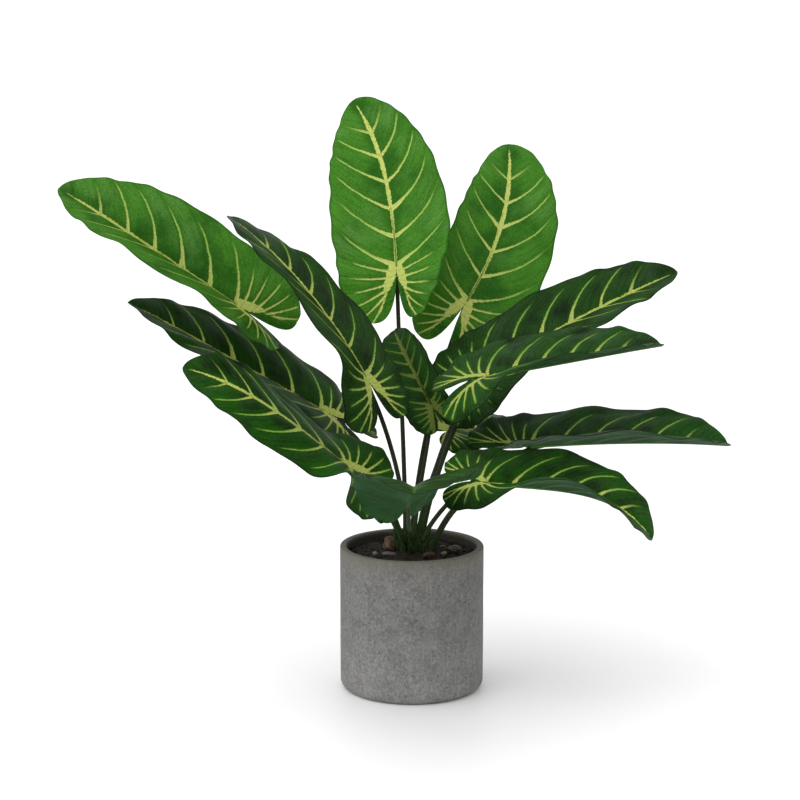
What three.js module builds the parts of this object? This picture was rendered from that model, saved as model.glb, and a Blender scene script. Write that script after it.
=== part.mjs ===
// Potted dieffenbachia: a round cement pot, its soil, and thirteen long
// heart-based leaves on thin stalks that leave one short stem clump.
// Millimetres, +Z up. The origin is the middle of the pot's underside and
// the front of the plant faces -Y.
import * as THREE from 'three';

// ---- pot ----------------------------------------------------------------
const POT_RADIUS = 65;
const POT_HEIGHT = 132;
const POT_WALL = 6;
const POT_FLOOR = 10;
const POT_FOOT_ROUND = 8;
const POT_SIDES = 44;

// ---- soil and stem clump ------------------------------------------------
const TOUCH_GAP = 0.3;
const SOIL_EDGE_Z = 123;
const SOIL_MID_Z = 127.5;
const CLUMP_RADIUS = 11;
const CLUMP_TOP_RADIUS = 12;
const CLUMP_TOP_Z = 142;

// ---- leaves -------------------------------------------------------------
const LEAF_THICK = 1.2;
const BASE_WIDTH = 0.88;
const BELLY = 0.42;
const TAPER = 2.2;
const TIP_ROUND = 0.62;
const LOBE_CORE = 0.36;
const LOBE_ROUND = 2.3;
const SINUS_GAP = 1.0;
const STALK_SIDES = 8;
const STALK_STEPS = 9;
const STALK_FOOT_RADIUS = 2.3;
const STALK_END_RADIUS = 2.0;

// One entry per leaf. joint is where the stalk meets the blade, tip is the
// blade's point, face is the way the top of the blade looks. width is the
// blade's full width, lobe is how far the two lobes reach behind the joint
// as a share of the blade. right and left hold the angle in degrees by which
// each half is raised from the flat: at its lobe, at mid blade, at the tip.
// side is +1 where the half to the left of the midrib is `a`, and -1 where
// it is `b`. arch and sweep bow the midrib out of and across the blade.
// belly, taper and tipRound shape the outline ahead of the joint.
// foot, rise and bend are the stalk's start and its two control points; the
// stalk starts on the clump, or in the soil beside it where low is set.
const LEAVES = [
  {
    name: 'upper_left', bright: true, side: -1, width: 112, arch: 1,
    joint: [-159, 40, 345], tip: [-320, 60, 449], face: [0.34, -0.68, 0.65],
    a: [36, 38, 20], b: [36, 46, 30], curl: 15, drop: 8,
    foot: [-9.1, 3], rise: [-24, 44, 190], bend: [-114, 128, 298],
  },
  {
    name: 'left_diagonal', side: -1, width: 106, arch: 10,
    belly: 0.28, taper: 2.7, tipRound: 0.52, lobe: 0.23, across: [0.94, 1.08],
    joint: [-40, -85, 301], tip: [-159, -25, 432], face: [0.64, -0.27, 0.72],
    a: [22, 14, 0], b: [-24, 18, 16], curl: 10, drop: 5,
    foot: [-3.2, -0.9], rise: [-8, -20, 196], bend: [-23, -60, 258],
  },
  {
    name: 'top', bright: true, side: 1, width: 116, arch: 8,
    sweep: -11, skew: 0.2, span: [-0.25, 0.33], across: [1.07, 0.98],
    belly: 0.34, taper: 2, tipRound: 0.7,
    joint: [-14, 75, 376], tip: [-55, 163, 523], face: [-0.11, -0.86, 0.49],
    a: [5, 8, 8], b: [50, 5, 30], curl: 20, drop: 5,
    foot: [-5.6, 7.8], rise: [-6, 30, 194], bend: [-11, 78, 279],
  },
  {
    name: 'upper_right', bright: true, side: 1, width: 116, arch: 8,
    sweep: -13, across: [0.84, 1.04], taper: 1.6, tipRound: 0.55,
    joint: [52, 110, 339], tip: [94, 200, 479], face: [0.07, -0.85, 0.53],
    a: [8, 8, 8], b: [8, 8, 8], curl: 20, drop: 5,
    foot: [0, 9.4], rise: [4, 30, 190], bend: [20, 112, 262],
  },
  {
    name: 'left', side: -1, width: 110, arch: 0,
    across: [0.95, 1],
    joint: [-81, 18, 252], tip: [-256, 30, 349], face: [0.46, -0.27, 0.85],
    a: [2, 30, 20], b: [-15, 28, 24], curl: 30, drop: 5,
    foot: [-9.1, -3], rise: [-24, 0, 173], bend: [-56, 16, 216],
  },
  {
    name: 'lower_left', side: -1, width: 105, arch: 10,
    skew: 0.4, pinch: 34, across: [1, 0.9],
    joint: [-58, -82, 224], tip: [-195, -100, 311], face: [0.54, -0.27, 0.79],
    a: [35, -6, 20], b: [-20, -8, -8], curl: 10, drop: 5,
    foot: [-5.6, -7.8], rise: [-18, -25, 172], bend: [-41, -60, 196],
  },
  {
    name: 'right_high', side: 1, width: 112, arch: 3,
    lobe: 0.25, span: [-0.3, 0.32], across: [0.94, 0.95],
    joint: [64, 30, 286], tip: [241, 50, 374], face: [-0.35, -0.46, 0.82],
    a: [20, 20, 20], b: [-28, 30, 22], curl: 15, drop: 5,
    foot: [9.1, 3], rise: [18, 12, 188], bend: [41, 26, 246],
  },
  {
    name: 'right_folded', side: 1, width: 102, arch: 0,
    belly: 0.25, taper: 4, tipRound: 0.5,
    joint: [63, -85, 301], tip: [217, -50, 322], face: [-0.11, -0.06, 0.99],
    a: [4, 28, 22], b: [-38, 24, 20], curl: 10, drop: 10,
    foot: [3.2, 1.6], rise: [18, -12, 190], bend: [28, -52, 262],
  },
  {
    name: 'right', side: 1, width: 108, arch: 3,
    belly: 0.28, taper: 3.6, tipRound: 0.5,
    joint: [107, 8, 221], tip: [291, 45, 214], face: [0.06, -0.07, 1],
    a: [24, 26, 30], b: [24, 31, 20], curl: 10, drop: 5,
    foot: [9.1, -3], rise: [25, 0, 173], bend: [70, -2, 206],
  },
  {
    name: 'lower_right', side: 1, width: 105, arch: 17,
    lobe: 0.22, low: true,
    skew: 0.6, span: [-0.2, 0.3], stout: 1.35,
    joint: [62, -88, 209], tip: [208, -83, 157], face: [0.34, -0.05, 0.94],
    a: [24, 32, 35], b: [-22, 30, -2], curl: 10, drop: 5,
    foot: [16.5, -6], rise: [26, -34, 168], bend: [46, -74, 193],
  },
  {
    name: 'centre', side: 1, width: 57, arch: 8,
    lobe: 0.25, across: [1, 0.72],
    joint: [17, -10, 263], tip: [-16, 60, 319], face: [-0.35, -0.7, 0.63],
    a: [20, 20, 10], b: [10, 30, 25], curl: 20, drop: 3,
    foot: [1.8, -3.2], rise: [5, -13, 188], bend: [18, -18, 238],
  },
  {
    name: 'inner_right', side: 1, width: 80, arch: 5,
    lobe: 0.15,
    joint: [34, 48, 227], tip: [112, 138, 200], face: [0.48, -0.14, 0.86],
    a: [20, 20, 20], b: [0, 20, 20], curl: 20, drop: 5,
    foot: [5.6, 7.8], rise: [11, 14, 181], bend: [28, 36, 206],
  },
  {
    name: 'front', side: -1, width: 103, arch: 10,
    across: [1, 1.25],
    joint: [-4, -143, 203], tip: [0, -291, 244], face: [0.18, 0.26, 0.95],
    a: [12, 8, 5], b: [60, 34, 22], curl: 10, drop: 10,
    foot: [0, -9.6], rise: [-3, -45, 168], bend: [-2, -132, 165],
  },
];

// ---- loose pieces on the soil: middle, size, turn, colour ---------------
const LITTER = [
  { name: 'bark_chip', at: [-20, 0], size: [14, 12, 14], turn: 0.4, hue: 0x8a6748 },
  { name: 'slate_chip', at: [-20, -14], size: [16, 9, 4], turn: -0.1, hue: 0x6d5f66 },
  { name: 'pale_pebble', at: [-33, -17], size: [5, 5, 4], turn: 0, hue: 0xb9b2a2 },
  { name: 'speckled_pebble', at: [38, -3], size: [14, 11, 8], turn: 0.3, hue: 0x57524c },
  { name: 'red_bark_chip', at: [15, -25], size: [13, 9, 6], turn: 0.2, hue: 0x6b3a2a },
  { name: 'tan_pebble', at: [28.5, 12], size: [5, 4, 4], turn: 0, hue: 0xa58d68 },
  { name: 'sand_pebble', at: [29, -12], size: [6, 5, 4], turn: 0.8, hue: 0xb09a72 },
  { name: 'olive_pebble', at: [20.5, 10], size: [6, 5, 4], turn: 0.6, hue: 0x6e6a3c },
];

const group = new THREE.Group();
group.name = 'potted_dieffenbachia';

function finish(name, geometry, hue, roughness) {
  const look = { color: hue, roughness, metalness: 0 };
  const mesh = new THREE.Mesh(geometry, new THREE.MeshStandardMaterial(look));
  mesh.name = name;
  group.add(mesh);
}

const vec = (p) => new THREE.Vector3(p[0], p[1], p[2]);

const smooth = (x) => {
  const c = Math.min(1, Math.max(0, x));
  return c * c * (3 - 2 * c);
};

// A closed solid of revolution about Z from [radius, height] pairs.
function turned(profile, sides) {
  const points = profile.map(([r, z]) => new THREE.Vector2(r, z));
  const geometry = new THREE.LatheGeometry(points, sides);
  geometry.rotateX(Math.PI / 2);
  return geometry;
}

// ---- pot: straight wall, rounded foot, softened rim ----------------------
const potProfile = [[0, 0]];
for (let i = 0; i <= 4; i += 1) {
  const angle = (i / 4) * (Math.PI / 2);
  const r = POT_RADIUS - POT_FOOT_ROUND + POT_FOOT_ROUND * Math.sin(angle);
  const z = POT_FOOT_ROUND - POT_FOOT_ROUND * Math.cos(angle);
  potProfile.push([r, z]);
}
const potInner = POT_RADIUS - POT_WALL;
potProfile.push([POT_RADIUS, POT_HEIGHT - 1]);
potProfile.push([POT_RADIUS - 1, POT_HEIGHT]);
potProfile.push([potInner + 1, POT_HEIGHT]);
potProfile.push([potInner, POT_HEIGHT - 1]);
potProfile.push([potInner, POT_FLOOR + 4]);
potProfile.push([potInner - 4, POT_FLOOR]);
potProfile.push([0, POT_FLOOR]);
finish('cement_pot', turned(potProfile, POT_SIDES), 0x7d7d79, 0.9);

// ---- soil: fills the pot to just under the rim, a little higher mid-pot ---
const soilRadius = potInner - TOUCH_GAP;
const soilProfile = [
  [0, POT_FLOOR + TOUCH_GAP],
  [soilRadius - 4.5, POT_FLOOR + TOUCH_GAP],
  [soilRadius, POT_FLOOR + 5],
  [soilRadius, SOIL_EDGE_Z],
  [soilRadius * 0.62, SOIL_EDGE_Z + 2.5],
  [CLUMP_RADIUS + 3, SOIL_MID_Z],
  [0, SOIL_MID_Z],
];
finish('potting_soil', turned(soilProfile, 36), 0x231a15, 0.95);

// ---- stem clump: the short base from which every stalk rises --------------
const clumpProfile = [
  [0, SOIL_MID_Z + TOUCH_GAP],
  [CLUMP_RADIUS, SOIL_MID_Z + TOUCH_GAP],
  [CLUMP_TOP_RADIUS, SOIL_MID_Z + 6],
  [CLUMP_TOP_RADIUS, CLUMP_TOP_Z],
  [0, CLUMP_TOP_Z],
];
finish('stem_clump', turned(clumpProfile, 24), 0x2f4423, 0.6);

// ---- leaf blade -----------------------------------------------------------
// t runs along the midrib: 0 at the joint, 1 at the tip, below 0 in the
// lobes. Inner and outer edge of one half, as shares of half the width.
function edges(leaf, t) {
  if (t >= 0) {
    const shrink = Math.max(0, 1 - t ** leaf.taper) ** leaf.tipRound;
    return [0, (BASE_WIDTH + leaf.belly * t) * shrink];
  }
  const back = Math.min(1, -t / leaf.lobe);
  const round = Math.max(0, 1 - back ** LOBE_ROUND) ** (1 / LOBE_ROUND);
  const outer = LOBE_CORE + (BASE_WIDTH - LOBE_CORE) * round;
  const gap = (SINUS_GAP / (leaf.width / 2)) * Math.sqrt(back) * round;
  return [LOBE_CORE * (1 - round) + gap, outer];
}

function midrib(leaf, t) {
  const joint = vec(leaf.joint);
  const chord = vec(leaf.tip).sub(joint);
  const along = chord.clone().normalize();
  const face = vec(leaf.face);
  const up = face.clone().addScaledVector(along, -face.dot(along)).normalize();
  const sideways = new THREE.Vector3().crossVectors(up, along);
  let bow = 4 * t * (1 - t) * (1 + leaf.skew * (2 * t - 1));
  if (t < 0) {
    bow = 4 * t * (1 - leaf.skew);
  }
  return joint.addScaledVector(chord, t)
    .addScaledVector(up, bow * leaf.arch)
    .addScaledVector(sideways, bow * leaf.sweep);
}

// Directions at t: along the midrib, out of the blade's top, to its left.
function axes(leaf, t) {
  const step = 1e-3;
  const along = midrib(leaf, t + step).sub(midrib(leaf, t - step)).normalize();
  const face = vec(leaf.face).normalize();
  const up = face.addScaledVector(along, -face.dot(along)).normalize();
  const left = new THREE.Vector3().crossVectors(up, along);
  return { along, up, left };
}

function raise(angles, t, span) {
  const first = smooth((t - span[0]) / (span[1] - span[0]));
  const second = smooth((t - 0.4) / 0.6);
  const [lobe, mid, tip] = angles;
  return lobe + (mid - lobe) * first + (tip - mid) * second;
}

// A point of the blade's middle surface; share is signed, + to the left.
function bladePoint(leaf, t, share) {
  const isA = Math.sign(share) * leaf.side > 0;
  const half = (leaf.width / 2) * (isA ? leaf.across[0] : leaf.across[1]);
  let angle = raise(isA ? leaf.a : leaf.b, t, leaf.span);
  if (!isA) {
    angle += leaf.pinch * Math.exp(-(((t - 0.02) / 0.09) ** 2));
  }
  const fold = THREE.MathUtils.degToRad(angle);
  const curl = THREE.MathUtils.degToRad(leaf.curl);
  const size = Math.abs(share);
  const out = (half * (Math.sin(fold) - Math.sin(fold - curl * size))) / curl;
  const high = (half * (Math.cos(fold - curl * size) - Math.cos(fold))) / curl;
  const back = Math.min(1.2, Math.max(0, -t / leaf.lobe));
  const { up, left } = axes(leaf, t);
  return midrib(leaf, t)
    .addScaledVector(left, Math.sign(share) * out)
    .addScaledVector(up, high - leaf.drop * back * back);
}

// A thin closed solid: the middle surface moved out both ways along its own
// normals, with a rim that joins the two skins all round.
function bladeSolid(leaf) {
  const middle = [];
  const faces = [];
  const rows = [];
  const column = 4;
  const lobeRows = [1, 0.93, 0.78, 0.55, 0.28];
  const bladeRows = [0, 0.1, 0.22, 0.35, 0.48, 0.6, 0.71, 0.81, 0.89, 0.95, 0.99];
  const add = (t, share) => {
    middle.push(bladePoint(leaf, t, share));
    return middle.length - 1;
  };
  // Each row of one half runs from its inner to its outer edge.
  const halfRow = (t, sign, first) => {
    const [inner, outer] = edges(leaf, t);
    const ids = [first === null ? add(t, sign * Math.max(inner, 1e-5)) : first];
    for (let i = 1; i <= column; i += 1) {
      ids.push(add(t, sign * (inner + ((outer - inner) * i) / column)));
    }
    return ids;
  };
  lobeRows.forEach((share) => {
    const t = -share * leaf.lobe;
    if (share === 1) {
      rows.push([1, -1].map((sign) => [add(t, sign * LOBE_CORE)]));
    } else {
      rows.push([1, -1].map((sign) => halfRow(t, sign, null)));
    }
  });
  bladeRows.forEach((t) => {
    const rib = add(t, 1e-5);
    rows.push([1, -1].map((sign) => halfRow(t, sign, rib)));
  });
  const point = add(1, 1e-5);
  rows.push([[point], [point]]);
  const stitch = (low, high, sign) => {
    const put = (a, b, c) => {
      faces.push(sign > 0 ? [a, b, c] : [a, c, b]);
    };
    if (low.length === 1) {
      for (let i = 0; i < high.length - 1; i += 1) {
        put(low[0], high[i], high[i + 1]);
      }
    } else if (high.length === 1) {
      for (let i = 0; i < low.length - 1; i += 1) {
        put(low[i], high[0], low[i + 1]);
      }
    } else {
      for (let i = 0; i < low.length - 1; i += 1) {
        put(low[i], high[i], high[i + 1]);
        put(low[i], high[i + 1], low[i + 1]);
      }
    }
  };
  for (let r = 0; r < rows.length - 1; r += 1) {
    stitch(rows[r][0], rows[r + 1][0], 1);
    stitch(rows[r][1], rows[r + 1][1], -1);
  }
  // Normals of the middle surface, then both skins and the rim.
  const normals = middle.map(() => new THREE.Vector3());
  const edgeUse = new Map();
  faces.forEach(([a, b, c]) => {
    const ab = middle[b].clone().sub(middle[a]);
    const ac = middle[c].clone().sub(middle[a]);
    const normal = ab.cross(ac);
    [a, b, c].forEach((id) => normals[id].add(normal));
    [[a, b], [b, c], [c, a]].forEach(([p, q]) => edgeUse.set(`${p}_${q}`, [p, q]));
  });
  normals.forEach((normal) => normal.normalize());
  const positions = [];
  middle.forEach((p, i) => {
    positions.push(...p.clone().addScaledVector(normals[i], LEAF_THICK / 2).toArray());
  });
  middle.forEach((p, i) => {
    positions.push(...p.clone().addScaledVector(normals[i], -LEAF_THICK / 2).toArray());
  });
  const count = middle.length;
  const index = [];
  faces.forEach(([a, b, c]) => {
    index.push(a, b, c);
    index.push(a + count, c + count, b + count);
  });
  edgeUse.forEach(([p, q]) => {
    if (!edgeUse.has(`${q}_${p}`)) {
      index.push(q, p, p + count);
      index.push(q, p + count, q + count);
    }
  });
  const geometry = new THREE.BufferGeometry();
  geometry.setAttribute('position', new THREE.Float32BufferAttribute(positions, 3));
  geometry.setIndex(index);
  geometry.computeVertexNormals();
  return geometry;
}

// ---- leaf stalk -------------------------------------------------------------
// A tapering round stalk. Its ends stop TOUCH_GAP short of what it stands on
// and of the blade's underside, however they lean.
function stalkSolid(leaf) {
  const ground = leaf.low ? SOIL_MID_Z : CLUMP_TOP_Z;
  const foot = new THREE.Vector3(leaf.foot[0], leaf.foot[1], ground);
  const rise = vec(leaf.rise);
  const bend = vec(leaf.bend);
  const { up } = axes(leaf, 0);
  const end = vec(leaf.joint);
  const footWay = rise.clone().sub(foot).normalize();
  const endWay = end.clone().sub(bend).normalize();
  const lean = (way, normal) => Math.sqrt(Math.max(0, 1 - way.dot(normal) ** 2));
  const footRadius = STALK_FOOT_RADIUS * leaf.stout;
  const endRadius = STALK_END_RADIUS * leaf.stout;
  const vertical = new THREE.Vector3(0, 0, 1);
  foot.addScaledVector(vertical, TOUCH_GAP + footRadius * lean(footWay, vertical));
  const clear = LEAF_THICK / 2 + TOUCH_GAP + endRadius * lean(endWay, up);
  end.addScaledVector(up, -clear);
  const path = new THREE.CubicBezierCurve3(foot, rise, bend, end);
  const ring = new THREE.Shape();
  for (let i = 0; i < STALK_SIDES; i += 1) {
    const angle = (i / STALK_SIDES) * 2 * Math.PI;
    const x = footRadius * Math.cos(angle);
    const y = footRadius * Math.sin(angle);
    if (i === 0) {
      ring.moveTo(x, y);
    } else {
      ring.lineTo(x, y);
    }
  }
  const settings = { steps: STALK_STEPS, bevelEnabled: false, extrudePath: path };
  const geometry = new THREE.ExtrudeGeometry(ring, settings);
  // The taper: every ring shrinks towards the path as it nears the blade.
  const centres = path.getSpacedPoints(STALK_STEPS);
  const place = geometry.attributes.position;
  for (let i = 0; i < place.count; i += 1) {
    const p = new THREE.Vector3().fromBufferAttribute(place, i);
    let nearest = 0;
    centres.forEach((c, k) => {
      if (p.distanceToSquared(c) < p.distanceToSquared(centres[nearest])) {
        nearest = k;
      }
    });
    const share = nearest / STALK_STEPS;
    const scale = 1 + (endRadius / footRadius - 1) * share;
    p.sub(centres[nearest]).multiplyScalar(scale).add(centres[nearest]);
    place.setXYZ(i, p.x, p.y, p.z);
  }
  return geometry;
}

LEAVES.forEach((entry) => {
  const leaf = {
    sweep: 0,
    skew: 0,
    pinch: 0,
    belly: BELLY,
    taper: TAPER,
    tipRound: TIP_ROUND,
    lobe: 0.28,
    span: [-0.3, 0.15],
    across: [1, 1],
    stout: 1,
    low: false,
    ...entry,
  };
  const green = leaf.bright ? 0x3c8a2c : 0x1f4a1e;
  finish(`leaf_${leaf.name}`, bladeSolid(leaf), green, 0.45);
  finish(`stalk_${leaf.name}`, stalkSolid(leaf), 0x2c3a24, 0.55);
});

// ---- loose chips and pebbles: lumpy stones that lie on the soil -------------
LITTER.forEach((item, which) => {
  const geometry = new THREE.IcosahedronGeometry(0.5, 1);
  const place = geometry.attributes.position;
  let low = Infinity;
  for (let i = 0; i < place.count; i += 1) {
    const p = new THREE.Vector3().fromBufferAttribute(place, i);
    const lump = 1 + 0.09 * Math.sin(9 * p.x + which) * Math.cos(8 * p.y - which);
    p.multiplyScalar(lump);
    p.set(p.x * item.size[0], p.y * item.size[1], Math.max(p.z, -0.3) * item.size[2]);
    low = Math.min(low, p.z);
    place.setXYZ(i, p.x, p.y, p.z);
  }
  geometry.rotateZ(item.turn);
  const reach = Math.hypot(item.at[0], item.at[1]) - item.size[1] / 2;
  const slope = (SOIL_MID_Z - SOIL_EDGE_Z - 2.5) / (soilRadius * 0.62 - CLUMP_RADIUS - 3);
  const ground = SOIL_MID_Z - Math.max(0, reach - CLUMP_RADIUS - 3) * slope;
  geometry.translate(item.at[0], item.at[1], ground + TOUCH_GAP - low);
  finish(item.name, geometry, item.hue, 0.85);
});

export default group;
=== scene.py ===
# %% [markdown]
# # A potted foliage plant in a cement pot
# The plant is a tuft of long heart-based leaves on thin stalks, in a plain
# round cement pot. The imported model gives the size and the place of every
# piece, in metres, so this lesson only has to give each piece its fine shape
# and its finish. Nothing on the plant moves, so every piece rides on the one
# body, which is called root.

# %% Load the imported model
import math
import bpy
import numpy as np
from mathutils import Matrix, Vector


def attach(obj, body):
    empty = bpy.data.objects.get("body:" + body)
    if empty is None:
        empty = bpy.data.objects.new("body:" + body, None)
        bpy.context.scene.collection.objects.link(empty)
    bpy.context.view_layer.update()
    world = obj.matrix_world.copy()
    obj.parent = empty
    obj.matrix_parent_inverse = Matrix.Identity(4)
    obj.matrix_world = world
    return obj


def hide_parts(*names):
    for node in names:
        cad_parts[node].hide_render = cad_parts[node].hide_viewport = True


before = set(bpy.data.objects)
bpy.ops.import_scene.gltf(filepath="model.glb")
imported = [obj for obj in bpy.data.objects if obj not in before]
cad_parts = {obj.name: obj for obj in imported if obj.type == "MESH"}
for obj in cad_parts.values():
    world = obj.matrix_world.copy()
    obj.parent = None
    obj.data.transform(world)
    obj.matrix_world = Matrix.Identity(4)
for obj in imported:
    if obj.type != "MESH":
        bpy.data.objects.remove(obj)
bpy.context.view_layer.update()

print("pieces in the packed model:", len(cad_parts))

# %% [markdown]
# ## Camera
# The pot's rim is an ellipse in the picture, and how open that ellipse is
# tells how far the camera looks down. A long lens two metres away keeps the
# near and far leaves at nearly one scale. The lens is worked out from the
# focal length in picture points, for a picture 800 points wide.

# %% Camera
PICTURE_SIDE = 800
FOCAL_POINTS = 2272.0
SENSOR_MM = 36.0
CAMERA_PLACE = (-0.0107, -2.0, 0.632)
LOOK_DOWN = math.radians(10.4)

camera_data = bpy.data.cameras.new("camera")
camera_data.sensor_width = SENSOR_MM
camera_data.lens = FOCAL_POINTS / PICTURE_SIDE * SENSOR_MM
camera = bpy.data.objects.new("camera", camera_data)
camera.location = CAMERA_PLACE
camera.rotation_euler = (math.pi / 2 - LOOK_DOWN, 0.0, 0.0)
bpy.context.scene.collection.objects.link(camera)
bpy.context.scene.camera = camera
bpy.context.scene.view_settings.view_transform = "Standard"
print("lens in mm:", round(camera_data.lens, 1))

# %% [markdown]
# ## A short way to write a finish
# A finish is a tree of nodes, and the leaf finish alone has over a hundred of
# them. Wiring each by hand takes four lines. So what comes out of a node is
# kept as a signal that can be added, multiplied and stepped like a number,
# and each such step makes the next node. The scale of a noise is in patches
# per metre: at 500 a patch is about 2 mm across.

# %% Helper: finishes
class Signal:
    """What comes out of a node. Sums, products and steps of it make further nodes."""
    def __init__(self, finish, socket):
        self.finish, self.socket = finish, socket

    def math(self, operation, *others):
        return self.finish.math(operation, self, *others)

    def __add__(self, other):
        return self.math("ADD", other)

    def __sub__(self, other):
        return self.math("SUBTRACT", other)

    def __rsub__(self, other):
        return self.finish.math("SUBTRACT", other, self)

    def __mul__(self, other):
        return self.math("MULTIPLY", other)

    def most(self, other):
        return self.math("MAXIMUM", other)

    def step(self, low, high):
        """0 where the signal is at low, 1 where it is at high, smooth between."""
        node = self.finish.new("MapRange")
        node.interpolation_type = "SMOOTHSTEP"
        return self.finish.wire(node, {"Value": self, "From Min": low, "From Max": high})


class Finish:
    """A material. Its surface is set by name, with numbers or with signals."""
    def __init__(self, name, **surface):
        self.material = bpy.data.materials.new(name)
        self.material.use_nodes = True
        self.tree = self.material.node_tree
        self.set(**surface)

    def set(self, **surface):
        shader = self.tree.nodes["Principled BSDF"]
        for name, value in surface.items():
            title = name.replace("_", " ").title().replace("Ior", "IOR")
            self.plug(shader.inputs[title], value)

    def plug(self, socket, value):
        if isinstance(value, Signal):
            self.tree.links.new(value.socket, socket)
        else:
            socket.default_value = (*value, 1.0) if socket.type == "RGBA" else value

    def new(self, kind):
        return self.tree.nodes.new("ShaderNode" + kind)

    def wire(self, node, inputs, output=0):
        """Fills a node's inputs and gives back what comes out of it."""
        for key, value in inputs.items():
            self.plug(node.inputs[key], value)
        return Signal(self, node.outputs[output])

    def math(self, operation, *values):
        node = self.new("Math")
        node.operation = operation
        return self.wire(node, dict(enumerate(values)))

    def mix(self, share, first, second, blend="MIX"):
        node = self.new("Mix")
        node.data_type, node.blend_type = "RGBA", blend
        return self.wire(node, {"Factor": share, "A": first, "B": second}, "Result")

    def layers(self, colour, *layers):
        """Lays colours over a first one. Each layer is a share and its colour."""
        for share, over in layers:
            colour = self.mix(share, colour, over)
        return colour

    def times(self, colour, red, green, blue):
        return self.mix(1.0, colour, self.join(red, green, blue), "MULTIPLY")

    def parts(self, chart):
        node, split = self.new("Attribute"), self.new("SeparateXYZ")
        node.attribute_name = chart
        self.wire(split, {0: self.wire(node, {}, "Vector")})
        return [Signal(self, output) for output in split.outputs]

    def place(self, stretch=(1.0, 1.0, 1.0)):
        """The point's place on the object in metres, stretched."""
        at = self.wire(self.new("TexCoord"), {}, "Object")
        return self.wire(self.new("Mapping"), {"Scale": stretch, "Vector": at})

    def join(self, x, y, z):
        return self.wire(self.new("CombineXYZ"), {0: x, 1: y, 2: z})

    def noise(self, where, scale, detail=3.0, rough=0.5):
        return self.wire(self.new("TexNoise"), {"Vector": where, "Scale": scale,
                                                "Detail": detail, "Roughness": rough})

    def cells(self, where, scale):
        return self.wire(self.new("TexVoronoi"), {"Vector": where, "Scale": scale}, "Distance")

    def bump(self, height, metres):
        self.set(normal=self.wire(self.new("Bump"), {"Distance": metres, "Height": height}))


def set_charts(mesh, **charts):
    """Stores up to three numbers for each vertex under a name, for finishes to read."""
    for name, columns in charts.items():
        rows = np.zeros((len(mesh.vertices), 3), np.float32)
        for k, column in enumerate(columns):
            rows[:, k] = column
        mesh.attributes.new(name, "FLOAT_VECTOR", "POINT").data.foreach_set("vector", rows.ravel())


def make_piece(name, points, faces, finish, slot, *nodes):
    """A smooth-shaded mesh that rides on the one body and stands for its nodes."""
    mesh = bpy.data.meshes.new(name)
    mesh.from_pydata([tuple(p) for p in points], [], faces)
    mesh.validate()
    mesh.polygons.foreach_set("use_smooth", [True] * len(mesh.polygons))
    mesh.materials.append(finish.material)
    piece = bpy.data.objects.new(name, mesh)
    bpy.context.scene.collection.objects.link(piece)
    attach(piece, "root")
    if nodes:
        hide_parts(*nodes)
    return piece


MM = 0.001
print("helpers ready")

# %% [markdown]
# ## Studio
# The object stands on a plain pale floor in soft light from all round. One
# broad light from the upper left in front makes the cement a little brighter
# on its left side and lets the ridges between the veins catch light. It is a
# sun with a wide disc, because a lamp close by would leave the far floor
# grey. A lit sky alone would make every leaf look flat.

# %% Floor and light
FLOOR_SIDE = 600.0
SKY_STRENGTH = 0.85
floor_finish = Finish("pale_floor", roughness=0.5, base_color=(0.97, 0.97, 0.97))
floor_corners = [(x * FLOOR_SIDE / 2, y * FLOOR_SIDE / 2, 0)
                 for x, y in ((-1, -1), (1, -1), (1, 1), (-1, 1))]
floor_mesh = bpy.data.meshes.new("floor")
floor_mesh.from_pydata(floor_corners, [], [(0, 1, 2, 3)])
floor_mesh.materials.append(floor_finish.material)
floor = bpy.data.objects.new("floor", floor_mesh)
bpy.context.scene.collection.objects.link(floor)

world = bpy.data.worlds.new("studio")
bpy.context.scene.world = world
world.use_nodes = True
sky = world.node_tree.nodes["Background"].inputs
sky["Color"].default_value = (1.0, 1.0, 1.0, 1.0)
sky["Strength"].default_value = SKY_STRENGTH


def broad_light(name, place, strength, disc_degrees):
    data = bpy.data.lights.new(name, "SUN")
    data.energy = strength
    data.angle = math.radians(disc_degrees)
    lamp = bpy.data.objects.new(name, data)
    lamp.rotation_mode = "QUATERNION"
    lamp.rotation_quaternion = Vector(place).to_track_quat("Z", "Y")
    bpy.context.scene.collection.objects.link(lamp)


broad_light("key_light", (-1.1, -1.1, 2.1), 1.7, 80)
broad_light("back_light", (0.5, 1.4, 1.6), 0.25, 70)
print("studio ready")

# %% [markdown]
# ## The leaf blades: where they are
# Each leaf is one grown piece. Its middle surface comes from a few numbers:
# where the stalk joins it, where its tip is, which way its top looks, how
# wide it is, how its two halves are raised at the lobe, the middle and the
# tip, and how the midrib bows. They are the imported model's own numbers in
# millimetres, so the fine blade lies exactly in the plain one's place.

# %% Leaf numbers
# What most leaves share. Angles are in degrees, lengths in millimetres. The
# last five are for the finish: the tone of a leaf, which on the centre leaf is
# painted shade, how much painted shade darkens its underside, how much its
# veins show, how wide its lobe ribs are, and how fresh it is against how much
# painted sheen it gets.
LEAF_DEFAULTS = dict(side=1, curl=10, drop=5, sweep=0, skew=0, pinch=0, lobe=0.28,
                     span=(-0.3, 0.15), across=(1, 1), belly=0.42, taper=2.2, tip_round=0.62,
                     stout=1, low=False, bright=False, tone=0, under=1,
                     show=1, wash=1, life=0.2)
# The stalk's joint, the tip, the way the top looks, how far the halves a and b
# are raised at lobe, middle and tip, and the stalk's foot and two bends.
PLACES = ("joint", "tip", "face", "a", "b", "foot", "rise", "bend")


def a_leaf(*places, **own):
    return {**LEAF_DEFAULTS, **dict(zip(PLACES, places)), **own}


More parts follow.
